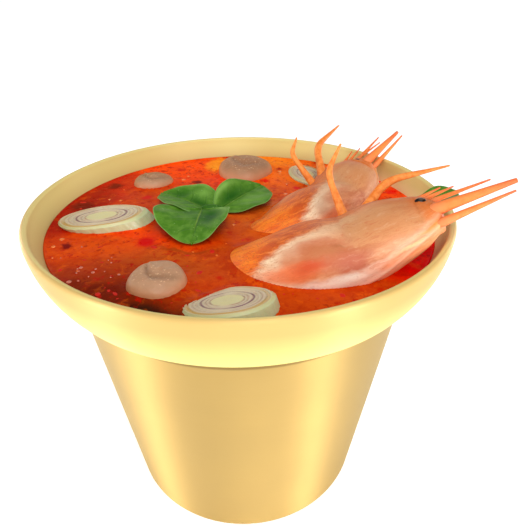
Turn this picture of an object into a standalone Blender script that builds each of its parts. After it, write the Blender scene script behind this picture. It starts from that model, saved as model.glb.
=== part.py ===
"""Tom yum soup in its gold, pot-shaped bowl: two prawns, straw mushrooms, lemongrass and basil.

Every length is in millimetres and is turned into metres as a mesh is made. The origin is the
centre of the bowl's flat base, +Z is up and -Y is the side that faces the eater.
"""
from math import atan2, cos, exp, pi, radians, sin, sqrt

import bmesh
import bpy
from mathutils import Matrix, Vector

MM = 0.001
OBJECT_NAME = "tom_yum_soup"
GAP = 0.3                       # clearance between neighbouring solids

# ---- bowl -------------------------------------------------------------------------------
TURN_STEPS = 48
RIM_RADIUS = 80.0
LIP_RADIUS = 1.3                # half the thickness of the rounded lip
LIP_CENTRE_Z = 130.5
COLLAR_BOTTOM_RADIUS = 72.9     # the flared band ends here, over the narrower body
COLLAR_BOTTOM_Z = 110.2
COLLAR_BULGE = (79.14, 118.9)   # control point of the band's rounded outside
BODY_TOP_RADIUS = 67.15
BASE_RADIUS = 53.3
BASE_EDGE_RADIUS = 1.6
WALL = 2.6
FLOOR = 3.0
FLOOR_FILLET = 6.0
SHOULDER_Z = 106.0              # inside, the well widens here into the collar
COLLAR_INNER_BOTTOM = (71.0, 111.0)

# ---- soup -------------------------------------------------------------------------------
SOUP_Z = 122.5
SOUP_RADIUS = 73.9              # inner radius of the bowl at the soup's level

# ---- straw mushroom caps: x, y, radius, rise above the soup, turn of the crease ------------
MUSHROOMS = {
    "mushroom_back": (-0.3, 55.0, 13.2, 5.0, 0.0),
    "mushroom_left": (-42.4, 39.0, 9.0, 3.4, 10.0),
    "mushroom_near": (-24.8, -46.6, 9.4, 4.2, -6.0),
}
MUSHROOM_SINK = 6.5             # how far a cap reaches under the soup, for the largest radius

# ---- lemongrass: slanting slices of a stalk -----------------------------------------------
SLICE_THICKNESS = 5.0
SLICE_EDGE = 0.5
SLICE_SEGMENTS = 32

# ---- basil ------------------------------------------------------------------------------
LEAF_THICKNESS = 0.8

# ---- prawns -----------------------------------------------------------------------------
# Rows along a prawn lying on its side, tail to head: distance along, height of the middle
# over the soup, half thickness from flank to flank, half depth from back to belly.
PRAWN_ROWS = [
    (-11.1, -16.4, 0.5, 0.5),
    (-9.3, -13.4, 6.4, 6.9),
    (-2.8, -9.5, 10.1, 10.9),
    (7.4, -4.3, 11.3, 15.9),
    (20.4, 1.3, 12.1, 17.9),
    (33.4, 3.6, 12.0, 16.5),
    (44.5, 8.6, 10.9, 15.1),
    (54.7, 11.6, 8.3, 12.2),
    (61.6, 13.6, 5.6, 6.8),
    (64.4, 14.4, 0.5, 0.5),
]
PRAWN_CURL = 11.9               # sideways bend of the back towards the belly
PRAWN_CURL_CENTRE = 30.0
PRAWN_CURL_SPAN = 40.0
PRAWN_PITCH_PIVOT = 10.0
PRAWN_SEGMENTS = 16
PRAWN_SUBSTEPS = 2
PRAWN_EYE = (56.6, 5.8)         # along the prawn and across it, on either flank
PRAWN_EYE_RADII = (2.6, 2.0, 1.5)
PRAWN_EYE_SINK = 0.4            # how far a bead's middle lies inside the flank
PRAWN_LEG_TIP = 0.7             # thickness


def material(name, colour, roughness, metallic=0.0):
    """A plain Principled material."""
    made = bpy.data.materials.new(name)
    made.use_nodes = True
    shader = made.node_tree.nodes["Principled BSDF"]
    shader.inputs["Base Color"].default_value = (*colour, 1.0)
    shader.inputs["Roughness"].default_value = roughness
    shader.inputs["Metallic"].default_value = metallic
    return made


def clear_scene():
    for old in list(bpy.data.objects):
        bpy.data.objects.remove(old, do_unlink=True)


def new_object(name, mesh, collection):
    made = bpy.data.objects.new(name, mesh)
    collection.objects.link(made)
    return made


def mesh_from(name, points, faces):
    """A mesh from points in millimetres, with its faces turned outwards."""
    mesh = bpy.data.meshes.new(name)
    mesh.from_pydata([Vector(p) * MM for p in points], [], faces)
    work = bmesh.new()
    work.from_mesh(mesh)
    bmesh.ops.recalc_face_normals(work, faces=work.faces)
    work.to_mesh(mesh)
    work.free()
    mesh.shade_smooth()
    return mesh


def hide_helper(helper):
    helper.hide_render = True
    helper.display_type = "WIRE"


def boolean(target, helper, operation):
    """Adds or cuts a helper object; the helper stays out of the model."""
    hide_helper(helper)
    step = target.modifiers.new(operation.lower() + "_" + helper.name, "BOOLEAN")
    step.operation = operation
    step.solver = "EXACT"
    step.object = helper


def arc(centre, radius, start, end, steps):
    """Points of a circular arc in the profile plane, angles in degrees."""
    points = []
    for i in range(steps + 1):
        angle = radians(start + (end - start) * i / steps)
        points.append((centre[0] + radius * cos(angle), centre[1] + radius * sin(angle)))
    return points


def bezier(first, control, last, steps):
    points = []
    for i in range(steps + 1):
        t = i / steps
        points.append(tuple((1 - t) ** 2 * a + 2 * t * (1 - t) * b + t * t * c
                            for a, b, c in zip(first, control, last)))
    return points


def turned(name, profile, collection, smooth=True):
    """A profile of (radius, height) turned round the Z axis; it runs down its outer side."""
    mesh = bpy.data.meshes.new(name)
    points = [(radius * MM, 0.0, height * MM) for radius, height in profile]
    mesh.from_pydata(points, [(i, i + 1) for i in range(len(points) - 1)], [])
    made = new_object(name, mesh, collection)
    screw = made.modifiers.new("turn", "SCREW")
    screw.axis = "Z"
    screw.steps = TURN_STEPS
    screw.render_steps = TURN_STEPS
    screw.use_merge_vertices = True
    screw.merge_threshold = 0.00001
    screw.use_smooth_shade = smooth
    return made


# ---- bowl and soup -----------------------------------------------------------------------
def well_profile(inset=0.0):
    """The inside of the bowl from the middle of its floor up to the collar's shoulder."""
    lean = atan2(BODY_TOP_RADIUS - BASE_RADIUS, COLLAR_BOTTOM_Z)
    wall_foot = BASE_RADIUS - WALL + (FLOOR + FLOOR_FILLET) * sin(lean) / cos(lean)
    wall_head = BASE_RADIUS - WALL + SHOULDER_Z * sin(lean) / cos(lean)
    fillet_centre = (wall_foot - FLOOR_FILLET, FLOOR + FLOOR_FILLET)
    points = [(0.0, FLOOR + inset)]
    points += arc(fillet_centre, FLOOR_FILLET - inset, -90.0, 0.0, 2)
    points.append((wall_head - inset, SHOULDER_Z + 0.5 * inset))
    points.append((COLLAR_INNER_BOTTOM[0] - inset, COLLAR_INNER_BOTTOM[1] + 0.5 * inset))
    return points


def make_bowl(collection):
    inside = well_profile() + [(SOUP_RADIUS, SOUP_Z)]
    lip = arc((RIM_RADIUS - LIP_RADIUS, LIP_CENTRE_Z), LIP_RADIUS, 180.0, 0.0, 5)
    collar = bezier((RIM_RADIUS, LIP_CENTRE_Z), COLLAR_BULGE,
                    (COLLAR_BOTTOM_RADIUS, COLLAR_BOTTOM_Z), 5)[1:]
    lower_edge = (BASE_RADIUS - BASE_EDGE_RADIUS, BASE_EDGE_RADIUS)
    foot = arc(lower_edge, BASE_EDGE_RADIUS, 0.0, -90.0, 2)
    outside = [(BODY_TOP_RADIUS, COLLAR_BOTTOM_Z)] + foot + [(0.0, 0.0)]
    return turned("bowl", inside + lip + collar + outside, collection)


def make_soup(collection):
    top = [(0.0, SOUP_Z), (SOUP_RADIUS - GAP, SOUP_Z)]
    below = list(reversed(well_profile(inset=GAP)))
    return turned("soup", top + below, collection, smooth=False)


# ---- mushrooms ----------------------------------------------------------------------------
def mushroom_mesh(name, radius, rise, grow=0.0):
    """A flattened dome with a crease across it and an uneven rim, narrowing under the soup."""
    work = bmesh.new()
    bmesh.ops.create_uvsphere(work, u_segments=18, v_segments=10, radius=1.0)
    sink = MUSHROOM_SINK * radius / 12.9
    for vertex in work.verts:
        a, b, c = vertex.co
        turn = atan2(b, a)
        uneven = 1.0 + 0.025 * sin(3 * turn + radius) + 0.015 * cos(5 * turn)
        side = sqrt(max(a * a + b * b, 0.0))
        spread = side ** 0.8 if c > 0 else side ** 1.1
        scale = (spread / side if side > 0.001 else 1.0) * uneven * (radius + grow)
        crease = exp(-((b - 0.1 + 0.45 * a) / 0.16) ** 2) * max(0.0, 1.0 - side ** 3)
        height = (rise + grow) * c - 0.7 * crease if c > 0 else (sink + grow) * c
        vertex.co = Vector((a * scale, 0.94 * b * scale, height)) * MM
    mesh = bpy.data.meshes.new(name)
    work.to_mesh(mesh)
    work.free()
    mesh.shade_smooth()
    return mesh


def make_mushroom(name, spec, collection, cutters):
    x, y, radius, rise, crease_turn = spec
    place = Matrix.Translation(Vector((x, y, SOUP_Z)) * MM) @ Matrix.Rotation(
        radians(crease_turn), 4, "Z")
    cap = new_object(name, mushroom_mesh(name, radius, rise), collection)
    cap.matrix_world = place
    cutter = new_object("cut_" + name, mushroom_mesh("cut_" + name, radius, rise, GAP), cutters)
    cutter.matrix_world = place
    return cap, cutter


# ---- lemongrass ---------------------------------------------------------------------------
def slice_mesh(name, half_length, half_width, lean, grow=0.0):
    """An oval slice with softened edges; its underside is shifted along +X by the slant."""
    levels = [(0.0, SLICE_EDGE), (-SLICE_EDGE, 0.0), (SLICE_EDGE - SLICE_THICKNESS, 0.0),
              (-SLICE_THICKNESS, SLICE_EDGE)]
    rings = []
    for number, (level, inset) in enumerate(levels):
        height = level + (grow if number < 2 else -grow)
        shift = -lean * level / SLICE_THICKNESS
        ring = []
        for i in range(SLICE_SEGMENTS):
            angle = 2 * pi * i / SLICE_SEGMENTS
            wobble = 1.0 + 0.02 * sin(2 * angle + half_length) + 0.012 * sin(5 * angle)
            ring.append((shift + (half_length + grow - inset) * wobble * cos(angle),
                         (half_width + grow - inset) * wobble * sin(angle), height))
        rings.append(ring)
    return closed_loft(name, rings)


def closed_loft(name, rings):
    """A solid through rings of equally many points, closed by a flat fan at both ends."""
    count = len(rings[0])
    points = [point for ring in rings for point in ring]
    faces = []
    for row in range(len(rings) - 1):
        for i in range(count):
            j = (i + 1) % count
            low, high = row * count, (row + 1) * count
            faces.append((low + i, low + j, high + j, high + i))
    for ring, start in ((rings[0], 0), (rings[-1], (len(rings) - 1) * count)):
        centre = len(points)
        points.append(tuple(sum(p[k] for p in ring) / count for k in range(3)))
        for i in range(count):
            faces.append((start + i, start + (i + 1) % count, centre))
    return mesh_from(name, points, faces)


# x, y, height of the top face over the soup, half length, half width, slant, turn, then the
# tilt and the direction in which the slice dips, all angles in degrees
SLICES = {
    "lemongrass_left": (-54.2, -4.8, 3.2, 17.6, 10.0, 3.4, 8.0, 4.0, 180.0),
    "lemongrass_near": (-1.9, -60.2, 2.2, 14.0, 10.4, 1.0, -3.0, 13.0, 127.0),
    "lemongrass_far": (26.4, 48.8, 2.2, 13.6, 8.4, 2.0, 112.0, 3.0, 180.0),
}


def make_slice(name, spec, collection, cutters):
    x, y, top, half_length, half_width, lean, turn, tilt, dip_direction = spec
    dip = radians(dip_direction)
    tilt_axis = Vector((-sin(dip), cos(dip), 0.0))
    place = (Matrix.Translation(Vector((x, y, SOUP_Z + top)) * MM)
             @ Matrix.Rotation(radians(tilt), 4, tilt_axis)
             @ Matrix.Rotation(radians(turn), 4, "Z"))
    piece = new_object(name, slice_mesh(name, half_length, half_width, lean), collection)
    piece.matrix_world = place
    cutter_mesh = slice_mesh("cut_" + name, half_length, half_width, lean, GAP)
    cutter = new_object("cut_" + name, cutter_mesh, cutters)
    cutter.matrix_world = place
    return piece, cutter


# ---- basil --------------------------------------------------------------------------------
LEAF_ROWS = 8
LEAF_COLUMNS = 3                # on each side of the midrib
LEAF_STALK_HALF = 0.7           # half width at the stalk and at the tip
LEAF_ROUNDNESS = 0.5            # 1 is a slim lens, lower is broader towards both ends


def leaf_mesh(name, length, left, right, left_curl, right_curl, arch, peak):
    """A leaf along +X from its stalk end. Each half is an arc that rises from the midrib, with
    its own width and its own curl in radians; peak under 1 puts the widest part near the
    stalk, and arch lifts the middle of the midrib."""
    points, faces = [], []
    across = 2 * LEAF_COLUMNS + 1
    for row in range(LEAF_ROWS + 1):
        t = row / LEAF_ROWS
        outline = max(sin(pi * t ** peak), 0.0) ** LEAF_ROUNDNESS
        for column in range(-LEAF_COLUMNS, LEAF_COLUMNS + 1):
            share = abs(column) / LEAF_COLUMNS
            width, curl = (left, left_curl) if column > 0 else (right, right_curl)
            radius = width / curl
            angle = share * max(width * outline, LEAF_STALK_HALF) / radius
            y = radius * sin(angle)
            z = radius * (1.0 - cos(angle)) + arch * sin(pi * t)
            points.append((length * t, y if column > 0 else -y, z))
    for row in range(LEAF_ROWS):
        for column in range(across - 1):
            i = row * across + column
            faces.append((i, i + across, i + across + 1, i + 1))
    mesh = bpy.data.meshes.new(name)
    mesh.from_pydata([Vector(p) * MM for p in points], [], faces)
    mesh.shade_smooth()
    return mesh


def make_leaf(name, spec, collection):
    leaf = new_object(name, leaf_mesh(name, *spec[4:]), collection)
    leaf.matrix_world = leaf_matrix(spec)
    shell = leaf.modifiers.new("thickness", "SOLIDIFY")
    shell.thickness = LEAF_THICKNESS * MM
    shell.offset = 0.0
    return leaf


# stalk end x, y and height over the soup; direction, rise of the tip and roll in degrees;
# length, width of the left and right halves, their curls, arch, peak
SPRIG_LEAVES = {
    "leaf_front": ((-16.0, 1.4, 3.0), -92.0, -3.0, 0.0, 26.0, 12.8, 17.4, 0.55, 0.45, 1.4, 0.6),
    "leaf_left": ((-12.6, 4.8, 1.4), 150.0, 1.5, 0.0, 26.5, 10.5, 13.5, 0.5, 0.7, 0.6, 0.8),
    "leaf_right": ((-9.4, 4.2, 1.4), 46.0, 1.0, 0.0, 26.0, 12.0, 13.0, 1.5, 0.4, 0.6, 0.8),
}
SPRIG_KNOT = (-12.2, 4.6, 2.6)
SPRIG_KNOT_RADII = (4.6, 2.6, 1.8)
RIM_LEAF = ((60.0, -1.0, 2.4), 3.0, 17.5, 0.0, 26.0, 8.0, 8.0, 0.5, 0.5, 2.2, 0.8)


def leaf_matrix(spec):
    (x, y, z), direction, rise, roll = spec[:4]
    return (Matrix.Translation(Vector((x, y, SOUP_Z + z)) * MM)
            @ Matrix.Rotation(radians(direction), 4, "Z")
            @ Matrix.Rotation(radians(-rise), 4, "Y")
            @ Matrix.Rotation(radians(roll), 4, "X"))


def make_sprig(collection, cutters):
    """Three broad leaves joined at one knot of stalk."""
    work = bmesh.new()
    bmesh.ops.create_uvsphere(work, u_segments=12, v_segments=8, radius=1.0)
    for vertex in work.verts:
        vertex.co = Vector([(c * r + k) * MM for c, r, k in
                            zip(vertex.co, SPRIG_KNOT_RADII,
                                (SPRIG_KNOT[0], SPRIG_KNOT[1], SOUP_Z + SPRIG_KNOT[2]))])
    mesh = bpy.data.meshes.new("basil_sprig")
    work.to_mesh(mesh)
    work.free()
    mesh.shade_smooth()
    sprig = new_object("basil_sprig", mesh, collection)
    for name, spec in SPRIG_LEAVES.items():
        boolean(sprig, make_leaf(name, spec, cutters), "UNION")
    return sprig


# ---- prawns -------------------------------------------------------------------------------
def smooth_row(rows, position):
    """Catmull-Rom value between the rows, position counted in rows."""
    last = len(rows) - 1
    i = min(int(position), last - 1)
    t = position - i
    a, b, c, d = (rows[min(max(k, 0), last)] for k in (i - 1, i, i + 1, i + 2))
    return tuple(0.5 * (2 * q + (r - p) * t + (2 * p - 5 * q + 4 * r - s) * t * t
                        + (3 * q - p - 3 * r + s) * t ** 3)
                 for p, q, r, s in zip(a, b, c, d))


def prawn_middle(row, pitch):
    """A row's middle in the prawn's frame, after the back's bend and the pitch."""
    along, height = row[0], row[1]
    bend = PRAWN_CURL * ((along - PRAWN_CURL_CENTRE) / PRAWN_CURL_SPAN) ** 2
    reach = along - PRAWN_PITCH_PIVOT
    return Vector((PRAWN_PITCH_PIVOT + reach * cos(pitch) - height * sin(pitch), bend,
                   height * cos(pitch) + reach * sin(pitch)))


def prawn_rings(pitch, roll, grow=0.0):
    steps = (len(PRAWN_ROWS) - 1) * PRAWN_SUBSTEPS
    rows = [smooth_row(PRAWN_ROWS, i / PRAWN_SUBSTEPS) for i in range(steps + 1)]
    middles = [prawn_middle(row, pitch) for row in rows]
    rings = []
    for i, row in enumerate(rows):
        ahead = (middles[min(i + 1, steps)] - middles[max(i - 1, 0)]).normalized()
        side = Vector((0, 0, 1)).cross(ahead).normalized()
        normal = ahead.cross(side)
        up = cos(roll) * normal - sin(roll) * side
        across = up.cross(ahead)
        end_push = grow * ahead * (-1 if i == 0 else 1 if i == steps else 0)
        ring = []
        for k in range(PRAWN_SEGMENTS):
            angle = 2 * pi * k / PRAWN_SEGMENTS
            ring.append(tuple(middles[i] + end_push + (row[2] + grow) * sin(angle) * up
                              + (row[3] + grow) * cos(angle) * across))
        rings.append(ring)
    return rings


# Feelers and horns: root, tip, thickness at both. Legs: root, knee, tip, thickness at root
# and knee. All in the prawn's own frame, before it is placed. Eyes: 1 for the upper flank and
# -1 for the lower one; the back prawn's lower flank lies under the soup there.
PRAWNS = {
    "prawn_front": {
        "place": (4.1, -36.4, 0.0), "turn": 4.1, "pitch": 0.0, "roll": -3.3, "eyes": (1, -1),
        "feelers": [
            ((55.0, 0.0, 16.0), (83.5, -3.1, 28.8), 5.2, 1.6),
            ((57.0, -4.6, 13.6), (83.8, -3.6, 25.5), 3.6, 0.7),
            ((58.0, 6.0, 17.0), (79.0, 4.0, 26.4), 2.2, 0.6),
            ((57.5, 8.0, 17.2), (69.4, 8.7, 22.4), 2.0, 0.5),
            ((57.0, 10.5, 16.6), (66.1, 11.3, 21.0), 1.8, 0.5),
        ],
        "legs": [
            ((35.0, 11.0, 8.0), (29.1, 23.2, 22.8), (33.8, 25.9, 32.5), 4.2, 2.3),
            ((37.0, 8.0, 10.0), (49.8, 20.9, 20.1), (72.8, 21.4, 25.1), 5.0, 3.0),
        ],
    },
    "prawn_back": {
        "place": (18.6, -8.3, -0.4), "turn": 51.7, "pitch": -11.3, "roll": -8.2, "eyes": (1,),
        "feelers": [
            ((55.0, 0.8, 17.0), (82.4, -2.0, 32.8), 5.0, 1.5),
            ((57.0, -3.0, 15.6), (79.0, -6.0, 32.0), 3.0, 0.7),
            ((58.0, 6.2, 17.0), (78.4, 5.2, 29.3), 2.2, 0.6),
            ((58.0, 7.2, 17.4), (76.5, 3.2, 27.2), 1.9, 0.5),
            ((57.5, 9.0, 16.8), (69.2, 9.5, 23.5), 1.9, 0.5),
            ((57.0, 10.8, 16.2), (66.0, 11.8, 21.8), 1.8, 0.5),
        ],
        "legs": [
            ((35.0, 11.0, 8.0), (29.3, 22.2, 20.4), (34.4, 23.9, 27.1), 4.2, 2.3),
            ((37.0, 8.0, 10.0), (49.5, 22.2, 23.0), (71.8, 24.4, 31.9), 5.0, 3.0),
        ],
    },
}
TUBE_STEPS = 6


def tapered_tube(name, points, widths, cutters):
    """A round horn or leg through points, as a curve made into a closed mesh."""
    curve = bpy.data.curves.new(name, "CURVE")
    curve.dimensions = "3D"
    curve.bevel_depth = 1.0 * MM
    curve.bevel_resolution = 1
    curve.use_fill_caps = True
    spline = curve.splines.new("POLY")
    spline.points.add(len(points) - 1)
    for target, point, width in zip(spline.points, points, widths):
        target.co = (*(Vector(point) * MM), 1.0)
        target.radius = 0.5 * width
    holder = bpy.data.objects.new(name, curve)
    cutters.objects.link(holder)
    bpy.context.view_layer.update()
    graph = bpy.context.evaluated_depsgraph_get()
    mesh = bpy.data.meshes.new_from_object(holder.evaluated_get(graph))
    work = bmesh.new()
    work.from_mesh(mesh)
    bmesh.ops.remove_doubles(work, verts=work.verts, dist=0.00001)
    bmesh.ops.recalc_face_normals(work, faces=work.faces)
    work.to_mesh(mesh)
    work.free()
    made = bpy.data.objects.new(name + "_solid", mesh)
    made.matrix_world = holder.matrix_world
    cutters.objects.link(made)
    bpy.data.objects.remove(holder, do_unlink=True)
    return made


def pitched(point, pitch):
    reach = point[0] - PRAWN_PITCH_PIVOT
    return (PRAWN_PITCH_PIVOT + reach * cos(pitch) - point[2] * sin(pitch), point[1],
            point[2] * cos(pitch) + reach * sin(pitch))


def leg_points(root, knee, tip):
    """Root to tip through a rounded knee."""
    root, knee, tip = Vector(root), Vector(knee), Vector(tip)
    before = knee + (root - knee) * 0.28
    after = knee + (tip - knee) * 0.28
    return [root] + [Vector(p) for p in bezier(before, knee, after, TUBE_STEPS)] + [tip]


def eye_bead(name, flank, pitch, cutters):
    """A bead on the upper (flank 1) or lower (flank -1) side of the head."""
    along, across = PRAWN_EYE
    finer = 4 * PRAWN_SUBSTEPS
    rows = [smooth_row(PRAWN_ROWS, i / finer) for i in range(finer * (len(PRAWN_ROWS) - 1))]
    row = min(rows, key=lambda r: abs(r[0] - along))
    centre = Vector(pitched((along, across, row[1] + flank * (row[2] - PRAWN_EYE_SINK)), pitch))
    work = bmesh.new()
    bmesh.ops.create_uvsphere(work, u_segments=10, v_segments=6, radius=1.0)
    for vertex in work.verts:
        vertex.co = Vector([c * r + k for c, r, k in
                            zip(vertex.co, PRAWN_EYE_RADII, centre)]) * MM
    mesh = bpy.data.meshes.new(name)
    work.to_mesh(mesh)
    work.free()
    return new_object(name, mesh, cutters)


def make_prawn(name, spec, collection, cutters):
    pitch, roll = radians(spec["pitch"]), radians(spec["roll"])
    x, y, z = spec["place"]
    place = (Matrix.Translation(Vector((x, y, SOUP_Z + z)) * MM)
             @ Matrix.Rotation(radians(spec["turn"]), 4, "Z"))
    body = new_object(name, closed_loft(name, prawn_rings(pitch, roll)), collection)
    body.matrix_world = place
    limbs = []
    for number, (root, tip, thick, thin) in enumerate(spec["feelers"]):
        points = [pitched(root, pitch), pitched(tip, pitch)]
        limbs.append(tapered_tube(f"{name}_feeler_{number}", points, (thick, thin), cutters))
    for number, (root, knee, tip, thick, middle) in enumerate(spec["legs"]):
        points = leg_points(*(pitched(p, pitch) for p in (root, knee, tip)))
        count = len(points) - 2
        widths = [thick] + [middle] * count + [PRAWN_LEG_TIP]
        limbs.append(tapered_tube(f"{name}_leg_{number}", points, widths, cutters))
    for flank in spec["eyes"]:
        limbs.append(eye_bead(f"{name}_eye_{flank}", flank, pitch, cutters))
    for limb in limbs:
        limb.matrix_world = place
        boolean(body, limb, "UNION")
    cutter_mesh = closed_loft("cut_" + name, prawn_rings(pitch, roll, GAP))
    cutter = new_object("cut_" + name, cutter_mesh, cutters)
    cutter.matrix_world = place
    return body, cutter


def main():
    clear_scene()
    model = bpy.data.collections.new(OBJECT_NAME)
    helpers = bpy.data.collections.new("helpers")
    for collection in (model, helpers):
        bpy.context.scene.collection.children.link(collection)

    gold = material("gold_bowl", (0.78, 0.58, 0.24), 0.35, 1.0)
    broth = material("broth", (0.62, 0.09, 0.01), 0.15)
    cap_flesh = material("mushroom", (0.55, 0.33, 0.22), 0.45)
    stalk = material("lemongrass", (0.66, 0.60, 0.38), 0.5)
    green = material("basil", (0.09, 0.28, 0.04), 0.4)
    shell = material("prawn_shell", (0.83, 0.35, 0.16), 0.3)

    make_bowl(model).data.materials.append(gold)
    soup = make_soup(model)
    soup.data.materials.append(broth)
    for name, spec in MUSHROOMS.items():
        cap, cutter = make_mushroom(name, spec, model, helpers)
        cap.data.materials.append(cap_flesh)
        boolean(soup, cutter, "DIFFERENCE")
    for name, spec in SLICES.items():
        piece, cutter = make_slice(name, spec, model, helpers)
        piece.data.materials.append(stalk)
        boolean(soup, cutter, "DIFFERENCE")
    make_sprig(model, helpers).data.materials.append(green)
    make_leaf("basil_leaf", RIM_LEAF, model).data.materials.append(green)
    for name, spec in PRAWNS.items():
        body, cutter = make_prawn(name, spec, model, helpers)
        body.data.materials.append(shell)
        boolean(soup, cutter, "DIFFERENCE")


main()
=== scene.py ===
"""Looks for the tom yum soup in its gold pot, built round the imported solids.

Lengths are in millimetres in the tables and helpers, and in metres once a mesh is made. Colours
are 0 to 255 display values. Every piece stands where its CAD node stands and rides on the one
body, "root".
"""

import random
from math import cos, exp, pi, radians, sin, sqrt

import bmesh
import bpy
import numpy as np
from mathutils import Matrix, Vector, noise
from mathutils.bvhtree import BVHTree


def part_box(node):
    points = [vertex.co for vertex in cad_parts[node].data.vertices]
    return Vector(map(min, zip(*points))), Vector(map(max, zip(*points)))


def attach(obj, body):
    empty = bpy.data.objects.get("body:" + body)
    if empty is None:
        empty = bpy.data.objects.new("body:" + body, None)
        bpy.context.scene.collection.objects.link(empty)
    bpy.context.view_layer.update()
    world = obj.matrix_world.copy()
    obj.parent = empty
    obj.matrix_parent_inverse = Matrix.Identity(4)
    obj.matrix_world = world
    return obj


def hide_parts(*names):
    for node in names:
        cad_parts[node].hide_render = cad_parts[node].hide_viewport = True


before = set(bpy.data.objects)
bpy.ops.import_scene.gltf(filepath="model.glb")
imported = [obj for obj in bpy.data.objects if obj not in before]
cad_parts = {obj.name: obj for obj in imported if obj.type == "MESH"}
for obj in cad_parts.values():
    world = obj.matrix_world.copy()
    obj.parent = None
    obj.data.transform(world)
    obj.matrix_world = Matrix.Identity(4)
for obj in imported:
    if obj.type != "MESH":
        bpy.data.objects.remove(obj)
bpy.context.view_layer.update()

MM = 0.001
SOUP_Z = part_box("soup")[1].z / MM
UP = Vector((0, 0, 1))


# ---- meshes -------------------------------------------------------------------------------
def wave(x, y, z, scale, seed=0):
    """Smooth noise from about -1 to 1, scale in millimetres."""
    return noise.noise(Vector((x / scale + seed, y / scale - seed, z / scale + 2.3 * seed)))


def bell(value, centre, width):
    """1 at centre, falling smoothly to 0 some widths away."""
    return exp(-((value - centre) / width) ** 2)


def placed(name, data):
    made = bpy.data.objects.new(name, data)
    bpy.context.scene.collection.objects.link(made)
    return made


class Form:
    """Points with named values on each, and the faces of closed forms."""

    def __init__(self, *names):
        self.points, self.faces = [], []
        self.fields = {name: [] for name in names}

    def add(self, point, *values):
        self.points.append(point)
        for name, value in zip(self.fields, values):
            self.fields[name].append(value)

    def close(self, rows, columns):
        """Faces of a grid closed by a fan at each end.

        The grid's points are added next, and after them the middle of each fan.
        """
        start = len(self.points)
        self.faces += grid_faces(rows, columns, start)
        last = start + (rows - 1) * columns
        for first, middle in ((start, last + columns), (last, last + columns + 1)):
            self.faces += [(first + i, first + (i + 1) % columns, middle)
                           for i in range(columns)]


def piece(name, form, material, node=None, place=Matrix()):
    """A smooth mesh of a form, riding on root, its faces all turned outwards."""
    mesh = bpy.data.meshes.new(name)
    points = [place @ Vector(point) for point in form.points]
    mesh.from_pydata([[c * MM for c in point] for point in points], [], form.faces)
    mesh.validate()
    turned = bmesh.new()
    turned.from_mesh(mesh)
    bmesh.ops.recalc_face_normals(turned, faces=turned.faces)
    turned.to_mesh(mesh)
    turned.free()
    for key, values in form.fields.items():
        layer = mesh.attributes.new(key, "FLOAT", "POINT")
        layer.data.foreach_set("value", np.asarray(values, dtype=np.float32))
    mesh.shade_smooth()
    made = placed(name, mesh)
    mesh.materials.append(material)
    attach(made, "root")
    if node:
        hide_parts(node)
    return made


def grid_faces(rows, columns, start=0, wrap=True):
    """Faces of a grid of points counted row by row, closed round each row if wrap is set."""
    faces = []
    for row in range(rows - 1):
        for i in range(columns if wrap else columns - 1):
            j = (i + 1) % columns
            a, b = start + row * columns, start + (row + 1) * columns
            faces.append((b + i, b + j, a + j, a + i))
    return faces


def ball_angles(rows, columns):
    """Angles down from a pole and round it, row by row, without the poles themselves."""
    return [(pi * row / rows, 2 * pi * k / columns)
            for row in range(1, rows) for k in range(columns)]


def arc(centre, radius, start, end, steps):
    points = []
    for i in range(steps + 1):
        angle = radians(start + (end - start) * i / steps)
        points.append((centre[0] + radius * cos(angle), centre[1] + radius * sin(angle)))
    return points


def bezier(first, control, last, steps):
    points = []
    for i in range(steps + 1):
        t = i / steps
        points.append(tuple((1 - t) ** 2 * a + 2 * t * (1 - t) * b + t * t * c
                            for a, b, c in zip(first, control, last)))
    return points


def between(first, last, steps):
    return [tuple(a + (b - a) * i / steps for a, b in zip(first, last)) for i in range(steps + 1)]


def interp(value, places, values):
    return float(np.interp(value, places, values))


def search_tree(pieces):
    """One tree of the faces of several pieces, in metres, to find what is near a place."""
    points, faces = [], []
    for made in pieces:
        start = len(points)
        points += [vertex.co.copy() for vertex in made.data.vertices]
        faces += [tuple(start + i for i in face.vertices) for face in made.data.polygons]
    return BVHTree.FromPolygons(points, faces)


# ---- materials ----------------------------------------------------------------------------
def linear(colour):
    """Linear colour, with alpha, of 0 to 255 display values."""
    return (*(c / 12.92 if c <= 0.04045 else ((c + 0.055) / 1.055) ** 2.4
              for c in (value / 255 for value in colour)), 1)


class Value:
    """A node's output. Each sum, difference or product of it adds a node."""

    def __init__(self, shade, socket):
        self.shade, self.socket = shade, socket

    def __add__(self, other):
        return self.shade.calc("ADD", self, other)

    def __sub__(self, other):
        return self.shade.calc("SUBTRACT", self, other)

    def __mul__(self, other):
        return self.shade.calc("MULTIPLY", self, other)


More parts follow.
